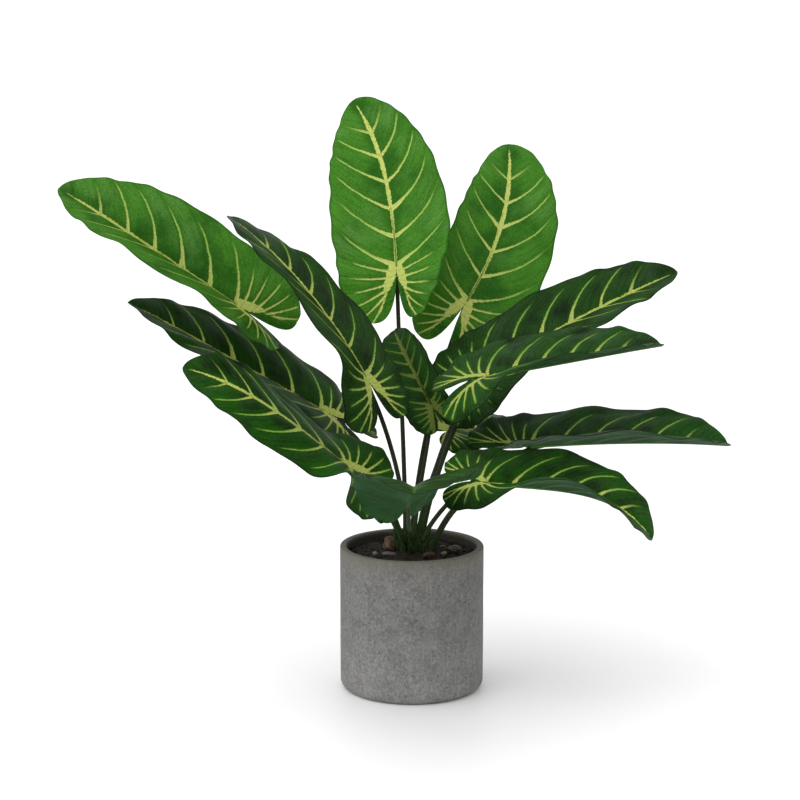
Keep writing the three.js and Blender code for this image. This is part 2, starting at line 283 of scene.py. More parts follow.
LEAVES = {
    "upper_left": a_leaf(
        (-159, 40, 345), (-320, 60, 449), (0.34, -0.68, 0.65), (36, 38, 20), (36, 46, 30),
        (-9.1, 3), (-24, 44, 190), (-114, 128, 298),
        width=112, arch=1, curl=15, drop=8, side=-1, bright=True, tone=0.05),
    "left_diagonal": a_leaf(
        (-40, -85, 301), (-159, -25, 432), (0.64, -0.27, 0.72), (22, 14, 0), (-24, 18, 16),
        (-3.2, -0.9), (-8, -20, 196), (-23, -60, 258),
        width=106, arch=10, side=-1, across=(0.94, 1.08), lobe=0.23, belly=0.28, taper=2.7,
        tip_round=0.52, tone=-0.16),
    "top": a_leaf(
        (-14, 75, 376), (-55, 163, 523), (-0.11, -0.86, 0.49), (5, 8, 8), (50, 5, 30),
        (-5.6, 7.8), (-6, 30, 194), (-11, 78, 279),
        width=116, arch=8, sweep=-11, skew=0.2, curl=20, span=(-0.25, 0.33), across=(1.07, 0.98),
        belly=0.34, taper=2, tip_round=0.7, bright=True, tone=0.12),
    "upper_right": a_leaf(
        (52, 110, 339), (94, 200, 479), (0.07, -0.85, 0.53), (8, 8, 8), (8, 8, 8), (0, 9.4),
        (4, 30, 190), (20, 112, 262),
        width=116, arch=8, sweep=-13, curl=20, across=(0.84, 1.04), taper=1.6, tip_round=0.55,
        bright=True, tone=0.02),
    "left": a_leaf(
        (-81, 18, 252), (-256, 30, 349), (0.46, -0.27, 0.85), (2, 30, 20), (-15, 28, 24),
        (-9.1, -3), (-24, 0, 173), (-56, 16, 216),
        width=110, arch=0, curl=30, side=-1, across=(0.95, 1), tone=-0.12, under=0.5, life=0.35),
    "lower_left": a_leaf(
        (-58, -82, 224), (-195, -100, 311), (0.54, -0.27, 0.79), (35, -6, 20), (-20, -8, -8),
        (-5.6, -7.8), (-18, -25, 172), (-41, -60, 196),
        width=105, arch=10, skew=0.4, side=-1, across=(1, 0.9), pinch=34, tone=0.3, under=0.95,
        life=0.9),
    "right_high": a_leaf(
        (64, 30, 286), (241, 50, 374), (-0.35, -0.46, 0.82), (20, 20, 20), (-28, 30, 22),
        (9.1, 3), (18, 12, 188), (41, 26, 246),
        width=112, arch=3, curl=15, span=(-0.3, 0.32), across=(0.94, 0.95), lobe=0.25, tone=-0.04,
        wash=0.8, life=0.1),
    "right_folded": a_leaf(
        (63, -85, 301), (217, -50, 322), (-0.11, -0.06, 0.99), (4, 28, 22), (-38, 24, 20),
        (3.2, 1.6), (18, -12, 190), (28, -52, 262),
        width=102, arch=0, drop=10, belly=0.25, taper=4, tip_round=0.5, tone=0.08, show=0.8,
        wash=0.5, life=0.45),
    "right": a_leaf(
        (107, 8, 221), (291, 45, 214), (0.06, -0.07, 1), (24, 26, 30), (24, 31, 20), (9.1, -3),
        (25, 0, 173), (70, -2, 206),
        width=108, arch=3, belly=0.28, taper=3.6, tip_round=0.5, tone=0.12, under=0.9, wash=0.5,
        life=1),
    "lower_right": a_leaf(
        (62, -88, 209), (208, -83, 157), (0.34, -0.05, 0.94), (24, 32, 35), (-22, 30, -2),
        (16.5, -6), (26, -34, 168), (46, -74, 193),
        width=105, arch=17, skew=0.6, span=(-0.2, 0.3), lobe=0.22, stout=1.35, low=True, tone=0.4,
        wash=0.6, life=0.9),
    # The centre leaf's low tone and faint veins are painted shade.
    "centre": a_leaf(
        (17, -10, 263), (-16, 60, 319), (-0.35, -0.7, 0.63), (20, 20, 10), (10, 30, 25),
        (1.8, -3.2), (5, -13, 188), (18, -18, 238),
        width=57, arch=8, curl=20, drop=3, across=(1, 0.72), lobe=0.25, tone=-0.45, show=0.35,
        wash=0.6),
    "inner_right": a_leaf(
        (34, 48, 227), (112, 138, 200), (0.48, -0.14, 0.86), (20, 20, 20), (0, 20, 20),
        (5.6, 7.8), (11, 14, 181), (28, 36, 206),
        width=80, arch=5, curl=20, lobe=0.15, tone=0.22),
    "front": a_leaf(
        (-4, -143, 203), (0, -291, 244), (0.18, 0.26, 0.95), (12, 8, 5), (60, 34, 22), (0, -9.6),
        (-3, -45, 168), (-2, -132, 165),
        width=103, arch=10, drop=10, side=-1, across=(1, 1.25), tone=0.1, show=0.12, wash=0.3),
}
print("leaves:", len(LEAVES))

# %% [markdown]
# ## The leaf blades: middle surface
# A point of a blade is given by t, which runs along the midrib from 0 at the
# stalk's joint to 1 at the tip and below 0 in the two lobes, and by share,
# which runs across, with its sign for the side. First come the midrib and
# its directions, then the raised and gently curled halves. Numpy works out
# all the points of a blade at once, which a loop in Python could not do in
# good time.

# %% Midrib and halves
# Shares of half the width: where a lobe is centred, and the blade's width at
# the joint. Then how square a lobe is, and the notch between the lobes.
LOBE_CORE, JOINT_WIDE, LOBE_ROUND, NOTCH_MM = 0.36, 0.88, 2.3, 2.0
PINCH_AT, PINCH_LONG = 0.02, 0.09


def unit(v):
    return v / np.linalg.norm(v, axis=-1, keepdims=True)


def smooth(x):
    x = np.clip(x, 0, 1)
    return x * x * (3 - 2 * x)


def midrib(leaf, t):
    joint, tip, face = (np.array(leaf[k], float) for k in ("joint", "tip", "face"))
    chord = tip - joint
    along = unit(chord)
    up = unit(face - (face @ along) * along)
    bow = 4 * t * (1 - t) * (1 + leaf["skew"] * (2 * t - 1))
    bow = np.where(t < 0, 4 * t * (1 - leaf["skew"]), bow)
    lift = leaf["arch"] * up + leaf["sweep"] * np.cross(up, along)
    return joint + t[:, None] * chord + bow[:, None] * lift


def blade_axes(leaf, t):
    step = 1e-3
    along = unit(midrib(leaf, t + step) - midrib(leaf, t - step))
    face = unit(np.array(leaf["face"], float))
    up = unit(face - (along @ face)[:, None] * along)
    return along, up, np.cross(up, along)


def raised(angles, t, span):
    lobe, middle, tip = angles
    first = smooth((t - span[0]) / (span[1] - span[0]))
    return lobe + (middle - lobe) * first + (tip - middle) * smooth((t - 0.4) / 0.6)


def half_width(leaf, share):
    """Which of its two halves a point lies on, and how wide that half is."""
    is_a = np.sign(share) * leaf["side"] > 0
    return is_a, leaf["width"] / 2 * np.where(is_a, *leaf["across"])


def blade_points(leaf, t, share):
    is_a, half = half_width(leaf, share)
    pinch = leaf["pinch"] * np.exp(-(((t - PINCH_AT) / PINCH_LONG) ** 2))
    angle = np.where(is_a, raised(leaf["a"], t, leaf["span"]),
                     raised(leaf["b"], t, leaf["span"]) + pinch)
    fold, curl, size = np.radians(angle), math.radians(leaf["curl"]), np.abs(share)
    out = half * (np.sin(fold) - np.sin(fold - curl * size)) / curl
    high = half * (np.cos(fold - curl * size) - np.cos(fold)) / curl
    back = np.clip(-t / leaf["lobe"], 0, 1.2)
    _, up, left = blade_axes(leaf, t)
    lift = high - leaf["drop"] * back**2
    return midrib(leaf, t) + (np.sign(share) * out)[:, None] * left + lift[:, None] * up


def outline(leaf, t):
    """Inner and outer edge of a half at t, as shares of half the width."""
    ahead = np.clip(t, 0, 1)
    outer = JOINT_WIDE + leaf["belly"] * ahead
    outer = outer * (1 - ahead ** leaf["taper"]) ** leaf["tip_round"]
    back = np.clip(-t / leaf["lobe"], 0, 1)
    round_off = (1 - back**LOBE_ROUND) ** (1 / LOBE_ROUND)
    gap = NOTCH_MM / leaf["width"] * np.sqrt(back) * round_off
    inner = np.where(t < 0, LOBE_CORE * (1 - round_off) + gap, 0)
    return inner, np.where(t < 0, LOBE_CORE + (JOINT_WIDE - LOBE_CORE) * round_off, outer)


print("blade length in mm:", {n: round(math.dist(v["tip"], v["joint"])) for n, v in LEAVES.items()})

# %% [markdown]
# ## The leaf blades: one grid for all
# A fine grid, about 2 mm between points, carries the pleats and the wavy
# margin as real shape. All blades use the same grid, so it is worked out
# once. The two halves share their points along the midrib, and they part at
# the joint, where the notch between the lobes begins.

# %% Blade grid
LOBE_ROWS, BLADE_ROWS, COLUMNS = 26, 104, 26
ROWS = LOBE_ROWS + BLADE_ROWS


def without_twins(ring):
    """A face's points, less any that repeats the one before it."""
    return [v for k, v in enumerate(ring) if v != ring[k - 1]]


def skin(rings):
    """Faces from each ring of points to the next. A ring of one point closes an end."""
    faces = []
    for low, high in zip(rings, rings[1:]):
        count = max(len(low), len(high))
        for s in range(count):
            n = (s + 1) % count
            faces.append(without_twins([low[s % len(low)], low[n % len(low)],
                                        high[n % len(high)], high[s % len(high)]]))
    return faces


def blade_grid():
    """The number of each grid point, by side, row and column, and the faces and rim."""
    ids = np.arange(ROWS * 2 * (COLUMNS + 1)).reshape(ROWS, 2, COLUMNS + 1)
    ids[0] = ids[0, :, :1]
    ids[LOBE_ROWS:, 1, 0] = ids[LOBE_ROWS:, 0, 0]
    ids[-1] = ids[-1, 0, 0]
    kept, order = np.unique(ids, return_inverse=True)
    ids = order.reshape(ids.shape).transpose(1, 0, 2)
    faces = []
    for side, table in enumerate(ids.tolist()):
        for low, high in zip(table, table[1:]):
            for c in range(COLUMNS):
                ring = without_twins([low[c], high[c], high[c + 1], low[c + 1]])
                if len(ring) > 2:
                    faces.append(ring if side == 0 else ring[::-1])
    edges = {(f[k - 1], f[k]) for f in faces for k in range(len(f))}
    rim = [e for e in edges if (e[1], e[0]) not in edges]
    following = dict(rim)
    loop = [min(following)]
    while following[loop[-1]] != loop[0]:
        loop.append(following[loop[-1]])
    return ids, len(kept), faces, loop


GRID_IDS, GRID_COUNT, GRID_FACES, GRID_RIM = blade_grid()
lobe_turn = np.linspace(0, math.pi / 2, LOBE_ROWS + 1)[:-1]
blade_run = np.linspace(0, 1, BLADE_ROWS)
ROW_BACK = np.cos(lobe_turn)
ROW_AHEAD = 0.6 * blade_run + 0.4 * (1 - (1 - blade_run) ** 2.5)
COLUMN_SHARE = np.linspace(0, 1, COLUMNS + 1) ** 1.3
print("points in one skin:", GRID_COUNT, "faces:", len(GRID_FACES), "rim:", len(GRID_RIM))

# %% [markdown]
# ## The leaf blades: the course of the veins
# On the real leaf, side veins leave the midrib at about 60 degrees and bend
# towards the tip. In each lobe they fan out from a short rib that runs back
# from the joint. So every point of the blade gets the number of the vein
# that would run through it: whole numbers are the real veins. That number
# changes smoothly, so a finish can draw lines much finer than the grid, and
# the pleats between the veins come from the same number. A wave texture
# would give straight stripes that ignore the lobes.

# %% Vein courses
VEIN_STEP = 0.152
LOBE_VEINS = 7
RIB_REACH, RIB_SPREAD = 0.7, 0.66
# The angle in degrees at which a vein leaves, from the back of the lobes
# (below 0) to the tip (1), and how far it then bends towards the tip.
LEAVE_AT, LEAVE_ANGLE = [-1.6, -1, -0.6, 0, 0.2, 1], [265, 168, 126, 70, 63, 52]
VEIN_BEND = 17
GAP_LIMITS = 1.0, 45.0


def vein_numbers(leaf, t, share, half):
    length = math.dist(leaf["tip"], leaf["joint"])
    x, y = t * length, np.maximum(np.abs(share) * half, 0.4)
    start = np.linspace(-1.6, 1.04, 170)
    rib_x = -RIB_REACH * leaf["lobe"] * length
    rib_y = LOBE_CORE * RIB_SPREAD * half.mean()
    from_x = np.where(start < 0, rib_x * np.minimum(-start, 1), start * length)
    from_y = np.where(start < 0, rib_y * np.clip(-start, 0, 1) ** 0.85, 0)
    leave = np.interp(start, LEAVE_AT, LEAVE_ANGLE)
    dx, dy = x[:, None] - from_x, y[:, None] - from_y
    far = np.hypot(dx, dy)
    turn = np.degrees(np.arctan2(dy, dx))
    turn = np.where(turn < -75, turn + 360, turn)
    miss = turn - (leave - VEIN_BEND * np.minimum(far / half[:, None], 1.4))
    after = np.argmax(miss > 0, axis=1)
    after = np.where((miss > 0).any(1), after, len(start) - 1)
    before = np.maximum(after - 1, 0)
    rows = np.arange(len(x))
    m0, m1 = miss[rows, before], miss[rows, after]
    blend = np.where(after > before, np.clip(-m0 / np.where(m1 - m0 == 0, 1, m1 - m0), 0, 1), 0)
    origin = start[before] + (start[after] - start[before]) * blend
    run = (far[rows, before] * (1 - blend) + far[rows, after] * blend) / half
    number = np.where(origin >= 0, origin / VEIN_STEP, origin * LOBE_VEINS)
    rib_way = np.array([rib_x, rib_y]) / math.hypot(rib_x, rib_y)
    rib_at = x * rib_way[0] + y * rib_way[1]
    rib_off = y * -rib_way[0] + x * rib_way[1]
    return number, run, rib_at, rib_off, x, y


def spacing(number, x, y):
    """Millimetres from one vein to the next, from how fast the number changes."""
    gap = np.zeros(GRID_COUNT)
    for ids in GRID_IDS:
        (n_r, n_c), (u_r, u_c), (v_r, v_c) = (np.gradient(a[ids]) for a in (number, x, y))
        area = u_r * v_c - u_c * v_r
        area = np.where(np.abs(area) < 1e-3, 1e-3, area)
        slope = np.hypot((n_r * v_c - n_c * v_r) / area, (n_c * u_r - n_r * u_c) / area)
        gap[ids] = np.clip(1 / np.maximum(slope, 0.02), *GAP_LIMITS)
    return gap


print("side veins on each half:", int(0.9 / VEIN_STEP) + 1, "and in each lobe:", LOBE_VEINS)

# %% [markdown]
# ## The leaf finish
# The real leaves are satin green with yellow-green veins that look painted
# on: broad and ragged where they start, thin and pale towards the margin.
# Between them run fine lines, and the underside is a plain, duller green. One
# recipe serves both the fresh green and the dark leaves, with other colours.
# The finish reads the vein numbers that are stored on the mesh, so the
# pattern always follows the shape.

# %% Leaf finish
# Millimetres across the blade.
THIN_VEIN, VEIN_FLARE, VEIN_RAGGED, VEIN_BLUR = 0.2, 1.7, 1.9, 0.85
MIDRIB_RAGGED, MIDRIB_BROAD, MIDRIB_BLUR = 3.2, 2.0, 0.7
RIB_PAINT, RIB_RAGGED, RIB_BLUR, RIB_ASIDE = 3.9, 5.0, 0.8, 1.9
# How fast the flare of a vein and the glow beside it die away.
FLARE_FALL, GLOW_FALL, MIDRIB_GLOW_FALL = -4.2, -0.42, -0.24
# Where side veins end, as a share of the way to the margin.
VEIN_END, LOBE_SHORTER, END_UNEVEN, END_SOFT = 1.16, 0.5, 0.4, 0.68
# How many fine lines and how many fibres run between two side veins.
FINE_LINES, FIBRES = 4.0, 17.0


def leaf_finish(name, rough, deep, green, fresh, lively, painted_sheen, vein, pale, under):
    paint = Finish(name, specular_ior_level=0.04)
    number, gap, run = paint.parts("vein_chart")
    rib_off, rib_at, t = paint.parts("rib_chart")
    top, edge, mid_paint = paint.parts("skin_chart")
    tone, mid_off, sign = paint.parts("leaf_chart")
    underside_shade, show, wash = paint.parts("own_chart")
    life = paint.parts("mood_chart")[0]
    where = paint.place()
    ragged = paint.noise(where, 560, 3, 0.65) - 0.5
    broad = paint.noise(where, 75, 2) - 0.5

    # Side veins: distance to the nearest whole number, in millimetres. Each
    # vein has its own strength, and it ends before the margin.
    course = number + broad * 0.09
    own_place = paint.join(course.math("ROUND") * 3.7, tone * 90.0, sign * 5.3)
    strength = paint.noise(own_place, 1.0, 0).step(0.3, 0.68)
    off = course.math("PINGPONG", 0.5) * gap
    lobe_side = number.step(0.3, -1.2)
    slimmer = lobe_side.most(t.step(0.45, 0.75) * 0.8)
    flare = (run * FLARE_FALL).math("EXPONENT")
    flare = flare * ((strength * VEIN_FLARE + 1.0) * (1.0 - slimmer * 0.66))
    width = flare + THIN_VEIN + ragged * VEIN_RAGGED
    end = VEIN_END - lobe_side * LOBE_SHORTER + broad * END_UNEVEN
    outside = rib_off.step(-0.6, 0.4).most(rib_at.step(1.0, -1.0))
    fade = run.step(end, end * END_SOFT) * edge.step(0.97, 0.78) * t.step(0.9, 0.74)
    fade = fade * number.step(-7.9, -6.9) * outside
    side_vein = off.step(width + VEIN_BLUR, width) * fade

    # Midrib, and the short rib that carries each lobe's fan.
    thick = ragged * MIDRIB_RAGGED + broad * MIDRIB_BROAD
    middle = mid_paint.step(thick + MIDRIB_BLUR, thick) * rib_at.step(5.0, 1.0)
    rib_wide = rib_at.step(34.0, 12.0) * (wash * RIB_PAINT) + ragged * RIB_RAGGED
    rib = (rib_off - RIB_ASIDE).math("ABSOLUTE").step(rib_wide + RIB_BLUR, rib_wide)
    rib = rib * rib_at.step(-2.5, 1.0) * rib_at.step(31.0, 22.0)
    worn = paint.noise(where, 330, 3, 0.7).step(0.52, 0.66) * mid_off.step(5.0, 1.0)
    veins = side_vein.most(middle.most(rib)) * (1.0 - worn * 0.45) * show

    # Fibres between the veins run the same way as the veins.
    fibre = paint.noise(paint.join(course * FIBRES, run * 2.2, tone), 1.0, 3, 0.6)
    weave = paint.noise(where, 760, 2, 0.6)
    fine_off = (course * FINE_LINES).math("PINGPONG", 0.5) * (gap * (1 / FINE_LINES))
    fine = fine_off.step(0.55, 0.1) * fibre.step(0.4, 0.65)
    blotch = paint.noise(where, 30, 3, 0.55)

    # Colour: dark between the veins, lively beside them, a dark thin margin, with painted sheen in
    # broad patches and painted shade beside the midrib.
    glow = (off * GLOW_FALL).math("EXPONENT") * fade
    glow = glow.most((mid_paint.most(0.0) * MIDRIB_GLOW_FALL).math("EXPONENT"))
    # Painted sheen: broad patches of paler grey-green on the upper skin stand for reflected sky
    # light. Fresher leaves get less of it.
    patch = paint.noise(where, 21, 3, 0.55).step(0.46, 0.68) * off.step(1.0, 5.0)
    # Painted shade: a dark line along the midrib's groove near the joint.
    crease_shade = mid_off.step(0.95, 0.35) * t.step(0.42, 0.08) * rib_at.step(4.0, 1.0)
    vein_colour = paint.layers(
        pale, (run.step(0.62, 0.12), vein), (ragged.step(0.1, -0.16) * 0.55, pale))
    upper = paint.layers(
        deep,
        ((blotch + edge.step(0.1, 0.75) * 0.16).step(0.36, 0.72), green),
        (patch * (0.7 - life * 0.6), painted_sheen),
        (life * blotch.step(0.4, 0.6), fresh),
        (glow * 0.7, lively),
        (fibre.step(0.42, 0.66) * 0.45, deep),
        (fine * 0.35, lively),
        (weave.step(0.5, 0.36) * 0.5, deep),
        (weave.step(0.54, 0.7) * 0.3, painted_sheen),
        # Painted shade: a darker band beside the midrib's groove.
        (mid_off.step(9.0, 2.0) * 0.35, deep),
        (edge.step(0.95, 1.0) * 0.75, deep),
        (veins, vein_colour),
        (crease_shade * 0.85, deep))
    # Tone lightens or darkens the upper skin. On the centre leaf it is painted shade.
    tone_and_shade = tone * 0.7 + 1.0
    upper = paint.times(upper, tone_and_shade, tone_and_shade, tone_and_shade)
    line = off.step(1.1, 0.3).most(mid_off.step(2.4, 1.2)) * edge.step(0.98, 0.7) * show
    lower = paint.layers(
        under,
        (line * 0.3, pale),
        (blotch.step(0.35, 0.75) * 0.45, deep),
        (fibre.step(0.42, 0.66) * 0.3, deep))
    # Painted shade: each leaf's own share darkens its underside.
    lower = paint.times(lower, underside_shade, underside_shade, underside_shade)
    paint.set(base_color=paint.mix(top, lower, upper),
              roughness=broad * 0.3 + rough + (1.0 - top) * 0.12)
    relief = off.step(1.0, 0.0) * -0.7 - fine * 0.25 + fibre * 0.7 + ragged * 0.25
    paint.bump(relief, 0.0005)
    return paint


LEAF_FINISH = {
    "bright_leaf": leaf_finish(
        "bright_leaf", rough=0.46, deep=(0.013, 0.078, 0.005), green=(0.052, 0.185, 0.014),
        fresh=(0.04, 0.17, 0.01), lively=(0.034, 0.115, 0.006), painted_sheen=(0.096, 0.235, 0.048),
        vein=(0.46, 0.5, 0.13), pale=(0.27, 0.42, 0.085), under=(0.042, 0.105, 0.034)),
    "dark_leaf": leaf_finish(
        "dark_leaf", rough=0.42, deep=(0.0035, 0.01, 0.002), green=(0.012, 0.048, 0.005),
        fresh=(0.01, 0.062, 0.003), lively=(0.026, 0.13, 0.006), painted_sheen=(0.034, 0.064, 0.028),
        vein=(0.42, 0.47, 0.11), pale=(0.2, 0.34, 0.055), under=(0.02, 0.07, 0.02)),
}
print("nodes in a leaf finish:", len(LEAF_FINISH["dark_leaf"].tree.nodes))

# %% [markdown]
# ## The leaf blades: skins
# A blade is a thin closed shell with an upper skin, a lower skin and a
# rounded rim. The middle surface is pushed up between the veins, which gives
# the quilted look, and its margin waves a little. The upper skin sinks into
# a groove over the midrib, and the lower skin bulges into a round rib under
# it. A flat plate with a bump map would look right only from the front.

# %% Blade shells
# Millimetres: half the thickness, pleats, margin waves, groove, rib and rim.
HALF_THICK, PLEAT, WAVE, GROOVE, RIB_HIGH, RIM_OUT = 0.35, 1.5, 1.5, 0.5, 1.7, 0.3
GROOVE_WIDE, RIB_WIDE = 1.6, 1.5
# Between veins that are this many millimetres apart, a pleat is full.
FULL_PLEAT_GAP = 18
# Half the width of the painted midrib in millimetres, along the blade.
MIDRIB_PAINT = ([0, 0.1, 0.3, 0.5, 0.72, 0.86, 0.95, 1],
                [0.9, 1.0, 1.3, 1.7, 1.8, 1.2, 0.1, -2.0])
# On the map for baking: the empty edge, and how wide the rim's strip is.
CHART_EDGE, CHART_RIM = 0.02, 0.004


def face_normals_at_points(points, faces):
    normals = np.zeros_like(points)
    for size in (3, 4):
        ring = np.array([f for f in faces if len(f) == size])
        flat = np.cross(points[ring[:, 2]] - points[ring[:, 0]],
                        points[ring[:, size - 1]] - points[ring[:, 1]])
        for k in range(size):
            np.add.at(normals, ring[:, k], flat)
    return unit(normals + 1e-12)


def make_blade(name, leaf, order):
    rng = np.random.default_rng(40 + order)
    t_row = np.concatenate([-leaf["lobe"] * ROW_BACK, ROW_AHEAD])
    inner, outer = outline(leaf, t_row)
    t, share, edge = np.zeros((3, GRID_COUNT))
    grid_share = np.maximum(inner[:, None] + (outer - inner)[:, None] * COLUMN_SHARE, 1e-5)
    for side, sign in ((1, -1), (0, 1)):
        t[GRID_IDS[side]] = t_row[:, None]
        share[GRID_IDS[side]] = sign * grid_share
        edge[GRID_IDS[side]] = COLUMN_SHARE
    half = half_width(leaf, share)[1]
    number, run, rib_at, rib_off, x, y = vein_numbers(leaf, t, share, half)
    gap = spacing(number, x, y)
    mid_off = np.where(x >= 0, np.abs(share) * half, np.hypot(x, np.abs(share) * half))
    mid_paint = mid_off - np.interp(t, *MIDRIB_PAINT)

    # Pleats and waves, in millimetres off the middle surface.
    rise = np.sin(math.pi * np.abs(number - np.round(number)))
    pleat = PLEAT * rise * smooth(run / 0.25) * (1 - 0.6 * smooth((edge - 0.6) / 0.4))
    pleat = pleat * np.clip((1 - t) * 6, 0, 1) * np.clip(gap / FULL_PLEAT_GAP, 0.25, 1)
    pleat = np.where(rib_off < 0, pleat * (x >= 0), pleat)
    beat = rng.uniform(0, 2 * math.pi, 4)
    wave = np.sin(2 * math.pi * number * 0.5 + beat[0] + np.sign(share) * beat[1])
    wave = wave + 0.7 * np.sin(2 * math.pi * t * 2.1 + beat[2] * np.sign(share))
    wave = WAVE * wave * smooth((edge - 0.35) / 0.65) ** 1.5 * np.clip((1.02 - t) * 5, 0, 1)
    scallop = 1 + 0.012 * np.sin(2 * math.pi * number + beat[3]) * edge**4
    middle = blade_points(leaf, t, share * scallop)
    middle = middle + face_normals_at_points(middle, GRID_FACES) * (pleat + wave)[:, None]
    normal = face_normals_at_points(middle, GRID_FACES)

    # Skins and rim. The groove and the rib under it fade towards the tip.
    slim = np.clip(1.05 - t, 0.25, 1)
    hollow = GROOVE * slim * np.exp(-((mid_off / GROOVE_WIDE) ** 2))
    ridge = RIB_HIGH * slim**1.3 * leaf["width"] / 110 * np.exp(-((mid_off / RIB_WIDE) ** 2))
    upper = middle + normal * (HALF_THICK - hollow)[:, None]
    lower = middle - normal * (HALF_THICK + ridge)[:, None]
    rim = np.array(GRID_RIM)
    tangent = unit(middle[np.roll(rim, -1)] - middle[np.roll(rim, 1)])
    ring = middle[rim] + RIM_OUT * unit(np.cross(tangent, normal[rim]))
    points = np.concatenate([upper, lower, ring]) * MM
    faces = [list(f) for f in GRID_FACES]
    faces += [[v + GRID_COUNT for v in f[::-1]] for f in GRID_FACES]
    faces += skin([rim + GRID_COUNT, range(2 * GRID_COUNT, len(points)), rim])
    slot = "bright_leaf" if leaf["bright"] else "dark_leaf"
    piece = make_piece(f"blade_{name}", points, faces, LEAF_FINISH[slot], slot, f"leaf_{name}")

    # The finish's charts: each number for the upper skin, lower skin and rim.
    def thrice(*columns):
        return [np.concatenate([values, values, values[rim]]) for values in columns]

    top = np.concatenate([np.ones(GRID_COUNT), np.zeros(GRID_COUNT), np.full(len(rim), 0.5)])
    set_charts(piece.data, vein_chart=thrice(number, gap, run),
               rib_chart=thrice(rib_off, rib_at, t),
               skin_chart=[top, *thrice(edge, mid_paint)],
               leaf_chart=[leaf["tone"], *thrice(mid_off, np.sign(share))],
               own_chart=[leaf["under"], leaf["show"], leaf["wash"]],
               mood_chart=[leaf["life"]])
    lay_out_blade(piece.data, x, y * np.sign(share), rim)
    return piece


def lay_out_blade(mesh, x, y, rim):
    """A map for baking: the upper skin in its upper half, the lower below."""
    u = CHART_EDGE + (1 - 2 * CHART_EDGE) * (x - x.min()) / (x.max() - x.min())
    v = CHART_EDGE + (0.5 - 2 * CHART_EDGE) * (y - y.min()) / (y.max() - y.min())
    flat, up = np.stack([u, v], 1), np.array([0, 0.5])
    outward = unit(flat[rim] - flat.mean(0)) * CHART_RIM
    places = np.concatenate([flat + up, flat, flat[rim] + up + outward])
    layer = mesh.uv_layers.new(name="OFBake")
    corners = np.zeros(len(mesh.loops), np.int32)
    mesh.loops.foreach_get("vertex_index", corners)
    uv = places[corners]
    starts = np.zeros(len(mesh.polygons), np.int32)
    mesh.polygons.foreach_get("loop_start", starts)

    # The rim's lower faces lie beside its upper ones on the map.
    rim_corners = np.arange(starts[2 * len(GRID_FACES)], len(corners))
    at = corners[rim_corners] - GRID_COUNT
    is_lower = (at >= 0) & (at < GRID_COUNT)
    out_by = np.zeros((GRID_COUNT, 2))
    out_by[rim] = 2 * outward
    uv[rim_corners[is_lower]] = (flat + up + out_by)[at[is_lower]]
    layer.data.foreach_set("uv", uv.astype(np.float32).ravel())


blades = [make_blade(name, leaf, k) for k, (name, leaf) in enumerate(LEAVES.items())]
print("faces in a blade:", len(blades[0].data.polygons))

# %% [markdown]
# ## Stalks
# A real leaf stalk is thickest at its foot, where it clasps the clump, thins
# out on the way up and thickens a little again just under the blade, where
# it bends into the midrib. It could be a curve with a round bevel, but a
# mesh tube made here keeps the channel on its upper side and lets the radius
# follow those swellings.

# %% Tubes
def tube(path, radius, sides, channel=0.0):
    """A closed tube along path, with one radius for each point of it."""
    along = unit(np.gradient(path, axis=0))
    frames = [unit(np.cross(along[0], (0.31, 0.95, 0.1)))]
    for k in range(1, len(path)):
        frames.append(unit(frames[-1] - (frames[-1] @ along[k]) * along[k]))
    side = np.array(frames)
    other = np.cross(along, side)
    angle = np.linspace(0, 2 * math.pi, sides, endpoint=False)[:, None]
    off_top = np.angle(np.exp(1j * (angle - math.pi / 2)))
    dent = 1 - channel * np.exp(-((off_top / 0.5) ** 2))
    rings = path[:, None] + radius[:, None, None] * dent * (
        np.cos(angle) * side[:, None] + np.sin(angle) * other[:, None])
    count = len(path) * sides
    ids = np.arange(count).reshape(len(path), sides).tolist()
    ends = [path[0] - along[0] * 0.3, path[-1] + along[-1] * 0.5]
    return np.concatenate([rings.reshape(-1, 3), ends]), skin([[count], *ids, [count + 1]])


def merged(parts):
    """Several meshes of points and faces as one."""
    points, faces, total = [], [], 0
    for part_points, part_faces in parts:
        points.append(part_points)
        faces += [[v + total for v in f] for f in part_faces]
        total += len(part_points)
    return np.concatenate(points), faces


print("tube helper ready")

# %% [markdown]
# ## The stalk finish
# The stalks are dark green, browner halfway up and fresher at both ends,
# with faint lengthwise streaks. The streaks come from noise that is stretched
# along the stalk, and the change of colour from how far up a point is.

# %% Stalk finish
STALK = Finish("stalk", specular_ior_level=0.08)
way_up, around, stalk_tone = STALK.parts("stalk_chart")
streak = STALK.noise(STALK.join(way_up * 3.0, around * 5.0, stalk_tone), 4.0, 3)
speck = STALK.noise(STALK.place(), 900, 2)
STALK.set(roughness=streak * 0.2 + 0.46, base_color=STALK.layers(
    (0.014, 0.019, 0.009),
    (way_up.step(0.3, 0.0).most(way_up.step(0.85, 1.0)), (0.028, 0.06, 0.014)),
    (streak.step(0.35, 0.7) * 0.6, (0.038, 0.052, 0.022)),
    (speck.step(0.62, 0.75) * 0.5, (0.06, 0.07, 0.03))))
STALK.bump(streak, 0.0002)
print("nodes in the stalk finish:", len(STALK.tree.nodes))

# %% Stalks
STALK_FOOT, STALK_END = 2.3, 2.0
STALK_STEPS, STALK_SIDES = 56, 18
SOIL_TOP, CLUMP_TOP = 127.5, 142.0
# The stalk's last stretch, which runs into the midrib: how far along the
# blade, how far under it, and how thick.
RUN_IN = np.array([0.012, 0.03, 0.05, 0.075])
RUN_IN_UNDER = np.array([2.0, 1.8, 1.55, 1.2])
RUN_IN_RADIUS = np.array([1.9, 1.5, 1.1, 0.6])


